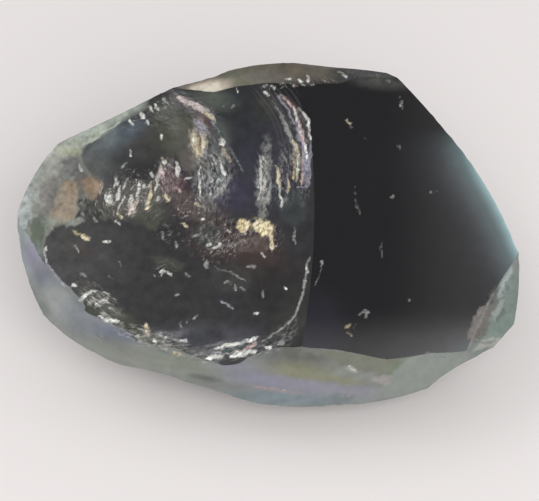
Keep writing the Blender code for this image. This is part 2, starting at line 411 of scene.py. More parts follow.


# ---------------- what is painted where
# Strokes on the upper side, mostly painted glints where ripples, steps and pits catch the light, and some
# dark lines: colour, width in pixels, strength, and the line it follows
STROKES = read_rows("""
# ribs by the ridge
lilac 1.6 .9 276,93 286,106 295,124 300,138 304,155 305,183
pink 1.8 .9 280,94 290,103 296,112 301,126 304,145
white 1.6 .9 289,100 296,114 301,130 305,146 307,160
white 1.8 .9 298,108 304,113 309,122 311,141
lilac 1.6 .8 311,141 310,156 309,185
silver 1.6 .9 280,117 287,131 293,145 299,160
silver 1.2 .8 272,100 283,118 291,134 296,146
cream 2.8 1 293,140 297,150 298,164 297,182
white 1.4 1 297,148 298,160 298,174
gold 1.2 .9 293,150 294,166 293,182
lilac 2 .7 306,150 307,172 307,188
pink 1.4 .8 302,146 303,166 302,186
lilac 1.2 .8 297,188 308,187
cream 2 .9 277,165 278,176 279,186
white 1.6 .8 279,186 281,198 282,208
cream 1.4 .8 287,174 288,184 288,194
white 2 .9 264,92 268,95
maroon 3 .6 288,96 299,110 306,130 307,152
brown 2.4 .7 283,100 292,116 298,134
# the crest over the first flute
.6,.5,.47 3.6 1 178,98 187,102 197,108 203,112
.68,.62,.57 2.6 .9 180,99 192,103 205,110 214,119
lilac 1.8 .8 192,117 198,124 202,134 206,146 206,158
silver 1.6 .8 206,113 214,122 221,134
gold 1.2 .8 189,128 191,140 194,152
white 1.6 .8 192,134 194,144
cream 2.6 .9 203,112 209,116 214,120
maroon 4 .8 198,112 205,120 210,127
lilac 3.4 .7 197,121 203,128 209,135
lilac 2 .7 212,122 217,130
teal 2.6 .9 216,124 221,132 226,138
cream 1.6 1 193,130 195,142 198,156
gold 1.6 .9 196,134 198,146 200,156
cream 1.8 .9 200,130 203,142 202,155
gold 1.2 .8 206,134 208,146
white 4.6 1 221,139 223,147
.42,.35,.25 3.4 .9 222,150 226,156 231,163
silver 1.4 .5 224,139 231,150 238,162 243,172
white 3.2 1 176,162 178,169 177,176
cream 2.4 .9 163,158 165,162
pink 3 .9 161,168 163,173
white 1.6 .9 184,180 192,177
pink 2.6 .9 178,188 180,192
cream 3.2 1 165,195 168,200
cream 2.6 .9 197,204 201,207
white 1.8 1 200,219 206,220
white 1.4 .9 201,166 199,178 199,188 201,198
white 2.2 .9 219,158 222,168 225,177
silver 1.8 .9 226,180 220,193 209,198
silver 1.6 .8 208,158 210,177
white 1.3 .8 214,187 222,189
white 1.4 .8 260,154 261,168 261,182 259,200
silver 1.4 .8 269,170 270,186 267,200
cream 1.8 .9 270,236 272,249
.7,.6,.56 3 .9 161,167 163,178
# dashes by the upper left edge
white 2.2 1 130,120 133,124
white 3 1 140,113 144,119
white 2 1 146,121 148,123
white 2.4 1 149,106 152,111
white 2 1 155,105 159,110
silver 1.8 1 163,99 168,104
white 2 .8 130,151 131,155
white 1.4 .8 162,134 161,141
white 2 .9 80,164 81,168 82,171
silver 1.6 .9 126,163 122,167
# slanting glints
white 2 1 115,178 116,181
white 1.8 1 120,187 119,194 117,201
white 1.8 1 125,196 121,203
white 2 1 132,196 128,206
white 1.8 1 139,182 139,188 136,197
.74,.62,.56 3.4 1 137,201 133,208 129,214
cream 2 1 151,186 150,198 147,210
white 4.6 1 106,194 109,199 110,204
cream 2.2 .9 106,204 110,206
white 2 1 143,183 145,187
white 2.2 .9 151,172 153,176
white 2.4 .9 163,159 165,165
cream 2.4 .9 165,193 168,198
white 2 .9 157,184 156,190
silver 2.8 .9 82,204 84,208
silver 2.6 .9 94,218 97,221
silver 2.2 .9 82,213 84,216
white 1.8 1 116,222 120,225
cream 2 .9 117,214 122,218
white 1.8 1 103,241 109,242
gold 2.6 .8 73,231 80,235
cream 3.6 1 82,236 90,239
silver 2.4 .9 50,226 53,230
silver 2.2 .9 163,233 163,238
silver 1.2 .8 71,245 76,246 80,253
silver 1.2 .7 80,272 86,277
silver 1.4 .6 109,276 113,279
silver 2 .5 119,261 121,266
white 1.8 .9 159,273 163,270 167,272 172,275
silver 1.4 .8 162,276 165,268
cream 1.6 .7 154,275 156,276
silver 1.4 .7 186,274 188,276
olive 1.6 .8 158,262 166,260 176,266
silver 2 .8 186,275 189,276
# specks and lines on the lower half
cream 2 .9 180,223 184,224 188,228
white 2.2 1 228,231 230,232
silver 2.4 .9 206,236 208,239
white 2.4 1 207,246 211,244
white 2.4 1 213,249 218,246 220,243
silver 1.8 .9 192,236 198,235
silver 1.8 .9 175,242 176,247
white 2.2 .9 261,253 265,256
silver 2.2 .9 206,261 207,269
silver 1.2 .7 213,267 231,272 245,281
silver 2 .9 247,267 256,266
silver 1.6 .8 224,283 228,281 232,284
silver 1.8 .9 235,285 235,291
silver 1.2 .7 239,286 245,290
white 2.4 1 285,288 286,289
silver 1.6 .9 263,292 263,297
lilac 1.6 1 220,301 226,304 233,308
white 2.4 1 255,314 257,314
silver 2.2 .9 177,294 179,294
silver 2 .7 186,320 187,321
silver 2.2 .7 180,323 181,327
silver 1.6 .6 192,320 195,316 199,315
# the line along the near side of the ridge
silver 1.5 .9 310,256 307,270 304,290 300,304 293,318 283,328 262,342
white 2.2 .8 307,268 307,272
silver 1.4 .8 295,226 294,236 296,246
# broken lower edge
white 2 .9 45,246 45,252
.44,.44,.5 1.5 1 43,250 46,262 52,272 60,280 66,287
white 2.2 .9 72,285 76,286
white 2.2 1 84,297 90,292 97,290
white 2.2 1 79,299 88,294
silver 1.8 1 88,304 94,301
white 1.8 1 96,305 103,300 108,298
silver 1.6 1 95,307 101,304 109,298
silver 1.8 .9 99,312 105,314 110,317
white 2.4 1 98,316 107,320 119,321
silver 1.6 .9 119,322 125,324
lilac 2.4 1 121,331 126,333 131,335
cream 3.4 .9 145,323 147,329 149,334
white 2.6 .9 137,336 140,337
white 2.4 .9 154,341 156,343
silver 1.6 .9 131,342 146,345 160,347 170,349
white 2.8 .9 182,341 185,341
cream 3.2 .9 173,351 182,356
white 2 1 214,348 227,345 240,342 250,340
white 3.6 1 250,340 257,337
pink 2.6 .8 243,350 250,347 256,343
silver 1.5 .9 263,341 278,332 287,325
white 3.2 1 207,358 216,356 223,356
white 3.6 1 230,357 238,354 246,353 255,352
white 3 1 266,349 272,346
silver 2.4 1 278,344 284,341
teal 3 .9 222,352 236,348 246,346
# along the back edge
white 2.4 1 287,79 290,80
white 2.2 1 299,80 301,82
white 2.4 1 307,77 308,81
silver 2 1 264,87 266,86
white 1.8 1 271,86 274,88
silver 1.8 .8 281,83 284,84
pink 1.8 .7 292,85 298,86
gold 1.8 .9 339,72 341,73
white 2.4 1 343,75 347,77
silver 1.6 .8 376,75 377,78
silver 1.8 .6 386,81 391,82
white 1.6 .9 237,88 238,92
# on the pale front
silver 1.2 .7 74,332 88,335 102,338
silver 1.4 .6 310,396 330,397 352,394
pink 1.4 .6 246,383 262,387 286,391
white 2.2 .9 348,367 353,369 357,371
silver 1.6 .7 425,352 436,356 446,357
silver 1.6 .8 512,276 507,284 501,296
silver 1.4 .7 495,292 487,305 481,318
silver 1.6 .7 474,338 484,343 496,341
# on the smooth face
cream 2.4 1 347,120 349,123
pink 2.8 1 350,126 352,127
silver 1.4 .6 365,137 366,138
silver 2.2 .6 398,146 400,148
silver 1.8 1 392,197 393,197
silver 1.8 .9 431,191 431,192
silver 1.8 .9 436,190 436,191
silver 1.6 .45 354,186 355,196
silver 3.4 .5 356,200 358,208 360,213
silver 1.2 .75 400,95 401,102 402,110
silver 1 .6 381,241 382,257
silver 1.8 .8 321,262 322,265
silver 1 .7 321,266 318,277 315,286
gold 2.4 1 346,327 349,325
cream 2.2 .9 348,333 350,335
silver 1.6 .8 354,328 355,326
silver 1.8 .8 359,314 364,311 369,313 365,317
silver 1.8 .9 409,300 410,301
""")

# Grainy patches painted to glitter with sparkles of light: middle, radii in pixels, tilt, how dense
GLITTER = read_rows("""
213,176 14,24 8 .95
264,180 7,30 4 .9
198,144 8,14 0 .8
245,227 8,8 0 1.1
263,227 12,8 15 1.1
132,193 30,20 -10 .6
104,206 22,14 10 .55
168,180 14,18 0 .8
190,206 22,14 20 .55
218,240 26,20 0 .6
275,240 10,14 0 .5
165,270 12,6 0 .35
98,298 24,10 32 .8
146,336 30,8 16 .85
175,350 18,6 12 .8
238,354 38,5 -8 1.1
300,84 36,3 -6 .6
356,74 34,4 0 .2
150,112 26,8 -30 .5
185,235 30,14 0 .3
""")

# Silky streaks that follow the rounds, raised as fine relief and painted as a pale sheen: middle, radii,
# tilt, how dense
SILKS = read_rows("""
300,152 9,42 -4 .9
284,176 10,28 0 .7
264,178 8,34 2 .85
213,178 18,28 8 .95
203,138 12,22 0 .8
196,106 24,7 30 .8
172,118 24,12 -20 .2
152,200 14,22 0 .3
172,176 14,20 0 .3
218,236 22,18 0 .45
248,232 18,14 0 .5
235,350 46,8 -10 .8
150,336 40,7 14 .75
98,300 24,9 30 .35
284,334 8,18 45 .6
""")

# Where the smooth face's black runs on over the ridge, and the thin left end, painted pale by the light
# that shows through it
DARK_CORNER, PALE_END = read_rows("""
262,80 272,91 284,96 296,107 309,119 330,125 330,70
10,264 43,264 43,250 45,238 50,228 60,225 70,222 78,210 76,196 84,198 96,194 98,182 89,176 83,166 \
  80,154 87,144 105,134 120,122 146,109 146,90 10,90
""")

# Tints: colour, middle, radii, tilt, softness, strength
# Dome tints: stains of the glass, and slate, blue and grey patches that are painted reflection and haze
DOME_STAINS_AND_REFLECTIONS = read_rows("""
.08,.077,.077 76,268 56,44 0 .8 .9
.036,.034,.034 150,300 80,50 15 .8 .7
.018,.018,.022 248,125 24,40 0 .5 .8
.02,.023,.025 238,118 26,34 0 .7 .8
olive 176,132 26,24 0 .7 .8
.085,.095,.082 212,99 20,9 10 .7 .9
.05,.049,.046 136,148 26,14 0 .7 .7
.07,.072,.058 150,215 18,10 0 .7 .7
.095,.095,.085 168,108 16,10 -20 .7 .7
.1,.102,.096 221,136 10,14 10 .7 .6
.045,.048,.034 265,108 10,14 0 .6 .5
.036,.035,.052 262,170 34,42 0 .7 .6
violet 225,195 26,16 0 .6 .6
maroon 172,183 14,12 0 .5 .8
maroon 188,205 14,12 0 .5 .6
brown 215,235 24,24 0 .6 .7
brown 255,248 26,18 0 .6 .8
brown 270,270 26,14 0 .6 .4
olive 145,200 20,16 0 .6 .6
.095,.112,.118 103,145 26,14 -30 .9 .85
.13,.15,.155 112,136 12,8 -30 .8 .8
.085,.103,.122 131,130 16,8 -28 .8 .9
.062,.064,.064 106,172 20,14 -20 .7 .8
.105,.11,.105 92,162 13,18 0 .9 .8
.06,.062,.075 210,336 60,12 0 .7 .6
.05,.05,.038 292,318 16,34 25 .7 .5
.02,.019,.019 278,290 26,24 0 .9 .7
olive 120,325 40,12 30 .6 .6
""")
DOME_FACETS = read_rows("""
.085,.085,.07 1.6 167,119 180,115 191,128 196,148 198,164 190,175 181,165 173,150
.095,.082,.075 1.4 179,152 194,148 199,166 190,172 180,166
.05,.062,.042 1.6 144,190 152,184 158,190 156,208 146,212
.06,.062,.046 1.6 141,216 152,212 161,216 158,229 146,230
.062,.044,.046 2.6 176,193 190,190 204,196 203,212 190,214 178,208
.09,.066,.058 2.6 232,236 246,238 262,236 270,240 266,252 240,252
.04,.045,.047 4 277,196 290,190 307,192 306,220 292,226 280,216
.06,.06,.055 2 56,236 70,230 88,240 90,252 76,262 60,254
.066,.058,.054 2 66,244 78,240 90,246 94,254 84,256 72,252
.05,.052,.048 2 196,226 212,222 222,232 218,246 202,248 192,238
.052,.055,.047 2.4 152,258 168,255 184,264 182,272 166,268 156,266
.044,.042,.04 3 210,268 236,266 252,276 248,292 226,292 212,284
""")
# Paler silver and gold tints under the glittering patches, partly the glass's own colour, partly painted
# sparkle and sheen
PATCH_TINTS = read_rows("""
.105,.108,.108 213,176 15,26 8 .6 .85
.21,.21,.19 264,180 6,30 4 .7 .85
.19,.17,.14 199,142 8,20 0 .7 .8
.15,.13,.14 190,107 20,5 26 .7 .5
.7,.58,.34 244,226 5.5,6.5 0 .8 1
.72,.62,.38 262,227 9,6.5 15 .8 1
.66,.56,.36 270,231 4,7 -20 .8 .9
.12,.11,.1 132,196 26,15 -10 .8 .7
.17,.13,.13 170,180 12,16 0 .7 .6
.1,.085,.08 196,208 20,12 20 .7 .6
.1,.1,.085 104,208 24,10 5 .8 .6
.13,.13,.11 100,300 22,7 32 .7 .6
.12,.12,.1 150,340 30,6 16 .7 .7
""")
# Tints of the thin left end: pale greys that are painted light showing through the thin glass, and tan
# stains in it
FLANGE_TINTS = read_rows("""
.38,.4,.34 50,180 70,70 0 .3 1
.54,.56,.47 64,146 30,10 -24 .6 .9
.52,.57,.49 110,120 40,8 -28 .6 .9
.5,.52,.36 70,152 12,2.5 4 .6 .9
.6,.61,.55 51,160 7,7 -30 .7 .8
.2,.19,.195 74,166 10,12 0 .7 .8
.115,.115,.11 83,175 9,12 0 .7 .9
.42,.42,.37 44,176 10,14 20 .7 .8
.3,.27,.28 50,190 8,12 10 .7 .6
.34,.3,.27 50,208 9,10 0 .7 .7
.27,.25,.235 56,190 14,11 -20 .8 .7
.17,.155,.14 79,186 6,11 10 .8 .8
.16,.15,.14 80,206 6,12 0 .8 .7
.38,.27,.18 92,185 8,7 30 .4 1
.36,.26,.17 97,190 5,7 -20 .4 .9
.44,.34,.23 69,191 7,8 0 .6 1
.45,.36,.26 64,207 8,15 16 .6 1
.4,.31,.22 71,212 6,8 0 .6 .9
.54,.58,.56 24,205 8,38 16 .6 1
.22,.25,.22 37,240 9,22 0 .8 .9
.15,.18,.13 38,232 6,10 0 .7 .8
""")
# Tints of the band at the front, mostly painted reflection of the table and light through the glass
BAND_TINTS = read_rows("""
.4,.45,.44 26,240 16,40 0 .7 1
.35,.33,.43 33,256 8,16 -20 .8 .9
.21,.22,.28 48,282 10,16 -30 .7 .8
.42,.44,.42 58,305 16,22 -30 .7 .95
.29,.31,.34 88,321 26,14 35 .7 .9
.2,.23,.29 118,336 22,7 22 .7 .9
.3,.31,.27 122,352 36,10 14 .7 .9
.2,.23,.19 45,309 4,8 -30 .8 .5
.25,.27,.22 200,366 50,12 8 .7 .9
.105,.108,.105 296,357 36,12 4 .7 .95
.27,.27,.33 250,372 36,10 14 .7 .9
.27,.27,.17 305,372 40,9 6 .7 .8
.31,.31,.4 300,385 60,6 5 .8 .9
.22,.28,.31 290,398 60,7 2 .8 .9
.27,.29,.26 370,368 44,14 -4 .7 .8
.28,.31,.28 428,368 28,17 -20 .6 .9
.09,.1,.09 205,378 15,2.6 10 .6 .9
.5,.5,.46 352,369 5,2.2 25 .6 .9
.42,.33,.33 276,390 28,1.4 9 .6 .7
""")
# Tints of the chip at the lower right: pale teal greys that are painted light through the thin glass, and
# darker facets
CHIP_TINTS = read_rows("""
.23,.29,.26 498,312 24,46 18 .5 .95
.22,.3,.24 507,325 9,16 0 .7 .8
.14,.12,.11 484,322 6,22 20 .7 .8
.34,.3,.29 471,336 6,10 20 .6 .8
.36,.4,.37 503,285 3,20 28 .6 .7
.34,.36,.34 492,341 18,6 -12 .6 .8
""")
# Tints of the back edge: the brown of the thin fin, a painted highlight along its left part, and the dark
# bevel
FIN_TINTS = read_rows("""
.085,.068,.044 290,75 70,16 0 .4 1
.09,.094,.058 232,78 28,12 -8 .7 .9
1,.84,.66 206,89 25,7 -12 .7 1.1
1,.92,.76 203,90 16,4 -10 .6 1.1
.15,.15,.09 246,82 14,8 0 .7 .6
.17,.15,.13 262,77 16,6 0 .7 .6
.01,.01,.009 378,74 48,16 0 .2 1
.012,.01,.01 318,84 40,3 0 .7 .9
.05,.06,.045 180,93 8,5 -20 .6 .8
""")


# Small facets and stains: colour, softness in pixels, outline. The pale ones on the chip, the band and
# the left edge are painted reflection and light through the thin glass
FACETS = read_rows("""
.365,.265,.185 5 84,180 90,176 98,179 101,184 98,192 93,199 88,196 89,189 84,187
.49,.405,.31 9 62,190 68,186 75,190 74,200 77,208 70,213 64,218 58,212 60,203 56,199
.42,.34,.26 6 60,206 66,204 70,210 63,217
.26,.27,.24 2 70,220 80,216 84,222 76,227 66,226
.56,.6,.5 1.2 84,144 96,135 110,128 121,122 120,124 104,133 92,142
.52,.55,.52 1.6 75,127 98,118 122,106 124,109 100,122 78,132
.24,.3,.27 1.2 512,270 517,292 517,318 508,341 492,346 474,348 480,330 492,305 502,284
.33,.3,.28 1 478,309 487,304 488,311 481,323 475,338 468,340 469,331
.15,.135,.115 1 487,306 495,300 498,309 489,318 488,330 478,342 474,345 474,336 481,322
.085,.085,.078 1 490,295 497,285 501,288 497,297 500,305 494,303 487,306
.46,.53,.5 1 511,266 513,272 506,284 502,296 498,299 500,288 505,276
.14,.19,.19 .9 506,282 509,284 508,291 505,290
.12,.15,.13 1 503,306 506,312 500,320 498,327 496,318
.47,.47,.42 1.4 476,346 484,339 500,338 508,336 506,342 490,347 472,352
.38,.42,.39 1.4 498,300 505,300 500,312 494,322 493,312
.3,.33,.3 2 385,380 396,366 408,354 434,354 470,352 458,366 430,388 400,398 376,398
.21,.215,.165 1.6 300,350 318,354 332,362 354,368 378,376 392,370 403,357 416,352 420,349 400,350 \
  350,352 320,350
.19,.24,.16 1.4 384,374 396,362 408,354 425,352 412,356 400,366 390,376
.4,.37,.355 2.2 372,377 382,375 394,378 386,384 374,383
.28,.28,.19 4 280,366 310,370 345,377 366,382 350,385 300,378 280,374
.31,.3,.35 4.5 280,378 310,383 350,387 380,389 360,396 310,393 280,388
.105,.11,.09 2.6 280,346 292,344 302,351 322,358 300,360 282,356
""")


# ---------------- painting
# Where the back edge, the band at the front, the chip and the two ends begin and end, in pixels
BACK_ABOVE, BACK_FROM = (110.0, 130.0), (150.0, 175.0)
BAND_BELOW, CHIP_FROM = (205.0, 218.0), (440.0, 470.0)
FACETS_LEFT, FACETS_RIGHT = 130.0, 465.0
# The band at the front is painted pale grey, as painted reflection of the table and light through the
# glass
BAND_REFLECTION = (0.27, 0.285, 0.27)
STREAK_CENTRE = (230.0, 210.0)

# The smooth face: where it is warmer, where it glows with painted light through the thin glass, and a
# hazy and a violet patch on it
WARM_X, WARM_Y, GLOW_Y = (380.0, 470.0), (310.0, 358.0), (125.0, 190.0)
CORNER_X, CORNER_Y = (330.0, 440.0), (300.0, 358.0)
HAZY_PATCH = ((381.0, 82.0), (24.0, 6.0), 5.0, 0.9)
VIOLET_PATCH = ((318.0, 330.0), (26.0, 36.0), 0.0, 0.6)

# The dark, clean bevel of the back edge begins at this x on the row y = 84, and leans
BEVEL_X, BEVEL_Y, BEVEL_LEAN = (322.0, 336.0), 84.0, 0.9

# Where fine slanting hackle streaks are painted as glints, and their slant
HACKLE_GLINTS = ((132.0, 193.0), (36.0, 22.0), -8.0, 0.5)
HACKLE_TURN = math.radians(-70.0)
CLEAR_TONE = (0.06, 0.22)  # the glass is taken as clear where its tone is this pale
MOTTLED_BELOW = 40.0  # only patches with a smaller radius than this, in pixels, are mottled

# Strokes under SHORT pixels long are dots, smaller still if under SLIM wide. Those over LONG are
# lines. A stroke, most often a painted glint, reaches at most STROKE_REACH beyond its points.
SHORT, LONG = 6.0, 16.0
SLIM = 2.9
STROKE_REACH = 7.0


def lay(colour, shade, share):
    """Covers a share of each colour with a shade."""
    share = share[:, None]
    return colour * (1.0 - share) + np.array(shade) * share


def tint(colour, x, y, tints, where, mottling=0.0):
    """Lays soft patches of colour over one another; mottled ones are broken up."""
    for shade, centre, radii, turn, edge, strength in tints:
        share = blob(x, y, centre, radii, turn, edge)
        if mottling and radii[0] < MOTTLED_BELOW:
            share = blob(x, y, centre, radii, turn, 0.95)
            spots = rough_noise(x / 9.0 + shade[0] * 90.0, y / 9.0, 77, 4)
            spots = spots + 0.8 * rough_noise(x / 3.2, y / 3.2 + shade[1] * 50.0, 78, 2)
            share = smooth(0.1, 0.9, share * 1.1 + mottling * spots) * smooth(0.0, 0.35, share)
        colour = lay(colour, shade, np.minimum(share * strength * where, 1.0))
    return colour


def find_areas(x, y, which):
    """Shares of the two main faces, and of the small faces by where they lie in the picture."""
    face = (which == FACE).astype(float)
    dome = (which == DOME).astype(float)
    side = 1.0 - face - dome
    flange = np.maximum(dome, side * (y < BAND_BELOW[1]))
    return SimpleNamespace(
        face=face,
        dome=dome,
        side=side,
        back=side * (1.0 - smooth(*BACK_ABOVE, y)) * smooth(*BACK_FROM, x),
        front=side * smooth(*BAND_BELOW, y),
        right=side * smooth(*CHIP_FROM, x),
        left=flange * zone(*bend(x, y, 3.5, 12.0, 71, 4), PALE_END, 5.5),
    )


def paint_face(colour, x, y, face, thick):
    """The smooth face: warmer at the right and the front, and aglow where the glass is thin."""
    warm = 0.018 * smooth(*WARM_X, x) + 0.030 * smooth(*CORNER_Y, y) * smooth(*CORNER_X, x)
    glow = smooth(*GLOW_Y, y)
    haze = 0.05 + 0.03 * rough_noise(x / 6.0, y / 4.0, 93)
    layers = (
        ((1.05, 1.0, 1.0), warm + 0.034 * smooth(*WARM_Y, y)),
        ((1.0, 1.0, 0.86), blob(x, y, *HAZY_PATCH) * haze),
        ((0.9, 0.8, 1.5), blob(x, y, *VIOLET_PATCH) * 0.008),
        ((0.24, 0.25, 0.27), glow * np.exp(-thick / 2.2)),
        ((0.21, 0.43, 0.42), glow * np.exp(-thick / 1.1)),
    )
    for shade, share in layers:
        colour = colour + (face * share)[:, None] * np.array(shade)
    return colour


def paint_dome(colour, x, y, dome):
    """The rippled face: greyer than the smooth one with a painted sheen, with stains, painted
    reflections, facets, and rough patches that are partly painted sparkle.
    """
    # a painted sheen makes the rippled face greyer, except where the smooth face's black runs over it
    dome_sheen = dome * (1.0 - zone(x, y, DARK_CORNER, 4.0))
    colour = colour + dome_sheen[:, None] * np.array((0.02, 0.019, 0.02))
    colour = tint(colour, x, y, DOME_STAINS_AND_REFLECTIONS, dome)
    bent_x, bent_y = bend(x, y, 2.6, 6.0, 81)
    for shade, soft, *points in DOME_FACETS:
        colour = lay(colour, shade, 0.85 * dome * zone(bent_x, bent_y, points, soft))
    return tint(colour, x, y, PATCH_TINTS, dome, 0.8)


def paint_facets(colour, x, y, side):
    """Small facets, stains and painted reflections, on the small faces and, at the two ends, on every
    face.
    """
    where = np.maximum(side, (x < FACETS_LEFT) | (x > FACETS_RIGHT))
    uneven = 0.85 + 0.3 * rough_noise(x / 3.0, y / 3.0, 87, 2)
    for shade, soft, *points in FACETS:
        bent_x, bent_y = bend(x, y, min(1.7 * soft, 4.0), 6.0, 81)
        colour = lay(colour, shade, zone(bent_x, bent_y, points, soft) * where * uneven)
    return colour


def band_streaks(x, y):
    """Streaks in the painted reflection of the band, that run out from the middle of the stone."""
    dx, dy = x - STREAK_CENTRE[0], y - STREAK_CENTRE[1]
    out = np.hypot(dx / 1.3, dy) + 3.0 * noise(x / 30.0, y / 30.0, 92)
    return rough_noise(out / 7.0, 3.0 * np.arctan2(dy, dx), 91, 4)


def paint_tone(x, y, area, thick):
    """Base colour of each upper point, laid on face by face."""
    colour = np.ones((len(x), 1)) * np.array(BLACK)
    colour = paint_face(colour, x, y, area.face, thick)
    colour = paint_dome(colour, x, y, area.dome)
    # painted reflection and light through the glass on the band, the left end and the chip, and a painted
    # highlight on the fin
    colour = lay(colour, BAND_REFLECTION, area.front)
    colour = tint(colour, x, y, BAND_TINTS, area.front)
    colour = tint(colour, x, y, FLANGE_TINTS, area.left, 0.6)
    colour = colour * (1.0 + 0.24 * area.front * band_streaks(x, y))[:, None]
    colour = tint(colour, x, y, CHIP_TINTS, area.right)
    colour = tint(colour, x, y, FIN_TINTS, area.back)
    colour = paint_facets(colour, x, y, area.side)
    mottle = rough_noise(x / 6.0, y / 6.0, 89, 4) + 0.7 * rough_noise(x / 2.4, y / 2.4, 90, 2)
    uneven = 0.38 * area.left + 0.25 * area.back + 0.15 * area.right
    return colour * (1.0 + uneven * mottle)[:, None]


def stroke_shares(x, y, width, strength, points):
    """How strongly a stroke, most often a painted glint, covers each point, and the wider share that
    takes its colour.
    """
    wander_x = 1.1 * noise(x / 5.0, y / 5.0, 23) + 0.8 * noise(x / 2.2, y / 2.2, 24)
    wander_y = 1.1 * noise(x / 5.0, y / 5.0, 25) + 0.8 * noise(x / 2.2, y / 2.2, 26)
    away, along = line_distance(x + wander_x, y + wander_y, points)
    length = sum(math.dist(p, q) for p, q in zip(points, points[1:]))
    taper = 0.35 + 0.65 * np.sqrt(np.clip(4.0 * along * (1.0 - along), 0.0, 1.0))
    uneven = 0.95 + 0.6 * noise(x / 2.6, y / 3.4, 21)
    most = 1.0
    if length < SHORT:
        taper = 1.0
    if length > LONG:
        uneven = 1.1 + 0.5 * noise(along * length / 14.0, 0.0 * along + width, 22)
        most = 1.3
    size = 0.66 * width * taper + 0.35
    if length < SHORT and width < SLIM:
        uneven, size = uneven * 0.86, size * 0.86
    share = np.clip(1.5 - away / size, 0.0, 1.0) * np.clip(strength * uneven, 0.0, most)
    return share, np.clip(2.6 - away / (0.66 * width + 0.35), 0.0, 1.0)


def paint_strokes(x, y):
    """How strongly each point carries a painted glint or a dark line, and with which colour."""
    mark, glint = np.zeros(len(x)), np.ones((len(x), 1)) * np.array(WHITE)
    for shade, width, strength, *points in STROKES:
        (low_x, low_y), (high_x, high_y) = np.min(points, axis=0), np.max(points, axis=0)
        near = (x > low_x - STROKE_REACH) & (x < high_x + STROKE_REACH)
        near &= (y > low_y - STROKE_REACH) & (y < high_y + STROKE_REACH)
        share, wide = stroke_shares(x[near], y[near], width, strength, points)
        glint[near] = lay(glint[near], shade, wide * (share >= mark[near] * 0.9))
        mark[near] = np.maximum(mark[near], share)
    return mark, glint


def hackle_glints(x, y):
    """Painted glints on fine slanting hackle streaks in the rough patch at the left of the dome."""
    c, s = math.cos(HACKLE_TURN), math.sin(HACKLE_TURN)
    streak = rough_noise((x * c + y * s) / 11.0, (y * c - x * s) / 3.0, 31, 2)
    return smooth(0.0, 0.6, streak) * blob(x, y, *HACKLE_GLINTS) * 0.85


def paint(x, y, which, thick):
    """The looks of each upper point, under the names of the attributes that store them."""
    area = find_areas(x, y, which)
    bare = 1.0 - area.left
    tone = paint_tone(x, y, area, thick)
    mark, glint = paint_strokes(x, y)
    glitter = densest(x, y, GLITTER)
    bevel = area.back * smooth(*BEVEL_X, x + BEVEL_LEAN * (BEVEL_Y - y))
    frost = 0.25 * area.side * (1.0 - 0.9 * bevel) + 0.1 * area.dome
    silk = densest(x, y, SILKS) * area.dome * (1.0 - zone(x, y, DARK_CORNER, 3.0))
    reach, turn = rounds(x, y)
    return {
        "tone": tone, "glint": glint, "mark": np.maximum(mark, hackle_glints(x, y) * area.dome),
        "frost": np.clip(frost + 0.2 * glitter, 0.0, 1.0),
        "glitter": glitter * bare,
        "clear": smooth(*CLEAR_TONE, tone.mean(axis=1)) * (1.0 - area.dome * bare),
        "silk": silk * bare,
        "flow": np.stack((reach, turn, 0.0 * x), axis=-1) * PIXEL,
    }


def paint_under(below):
    """The looks of the lower points: plain black, with painted light showing through where the glass is
    thin.
    """
    glow = np.exp(-below / 2.1)
    plain = np.zeros(len(glow))
    return {
        "tone": np.array(BLACK) * 1.5 + glow[:, None] * np.array((0.30, 0.36, 0.34)),
        "glint": plain[:, None] + np.array(WHITE),
        "mark": plain, "frost": plain + 0.25, "glitter": plain,
        "clear": smooth(*CLEAR_TONE, glow * 0.3), "silk": plain, "flow": plain[:, None] + np.zeros(3),
    }


# ---------------- the mesh
FINE, COARSE, ROWS = 0.155, 0.26, 0.175  # grid steps, mm
GRID_U = (-32.0, 6.5, 32.0)  # fine up to the middle value, coarse beyond it
GRID_V = (-24.0, 24.0)
NUDGE = 0.01  # step for slopes, mm
LEAST_SLOPE = 0.06  # between two upper faces that meet at an edge
LEAST_GLASS = 0.02  # mm
SHARP_ANGLE = math.radians(24.0)

# Corners of a merged cell in order, each with the middle of the edge that follows it and the way
# to the merged cell, if there is one, beyond that edge
BLOCK_CORNERS = (
    ((0, 0), (1, 0), (0, -1)),
    ((2, 0), (2, 1), (1, 0)),
    ((2, 2), (1, 2), (0, 1)),
    ((0, 2), (0, 1), (-1, 0)),
)


def nearest_two(u, v):
    """Height of the lowest upper face over each point, and the places of the two lowest."""
    sides = upper_sides(u, v)
    return sides.min(axis=0), np.argsort(sides, axis=0)[:2]


def with_slopes(height, u, v):
    """A height at each point, and its slopes along u and v."""
    here = height(u, v)
    return here, (height(u + NUDGE, v) - here) / NUDGE, (height(u, v + NUDGE) - here) / NUDGE


def crease_gap(u, v):
    """How far apart the two lowest upper faces are, its slope along u and v."""
    order = nearest_two(u, v)[1]

    def gap(u, v):
        pair = np.take_along_axis(upper_sides(u, v), order, axis=0)
        return pair[1] - pair[0]

    return with_slopes(gap, u, v)


def snap_to_creases(u, v, step_u, step_v):
    """Moves grid points beside an edge between two upper faces onto the edge."""
    here, gu, gv = crease_gap(u, v)
    steep = np.hypot(gu, gv) > LEAST_SLOPE
    across_u = np.abs(gu) * step_u > np.abs(gv) * step_v
    with np.errstate(divide="ignore", invalid="ignore"):
        mu = np.where(across_u, -here / gu, 0.0)
        mv = np.where(across_u, 0.0, -here / gv)
    near = steep & (np.abs(mu) <= 0.5 * step_u) & (np.abs(mv) <= 0.5 * step_v)
    return np.where(near, u + mu, u), np.where(near, v + mv, v), near


def thickness(u, v):
    return upper_sides(u, v).min(axis=0) - lower_side(u, v)


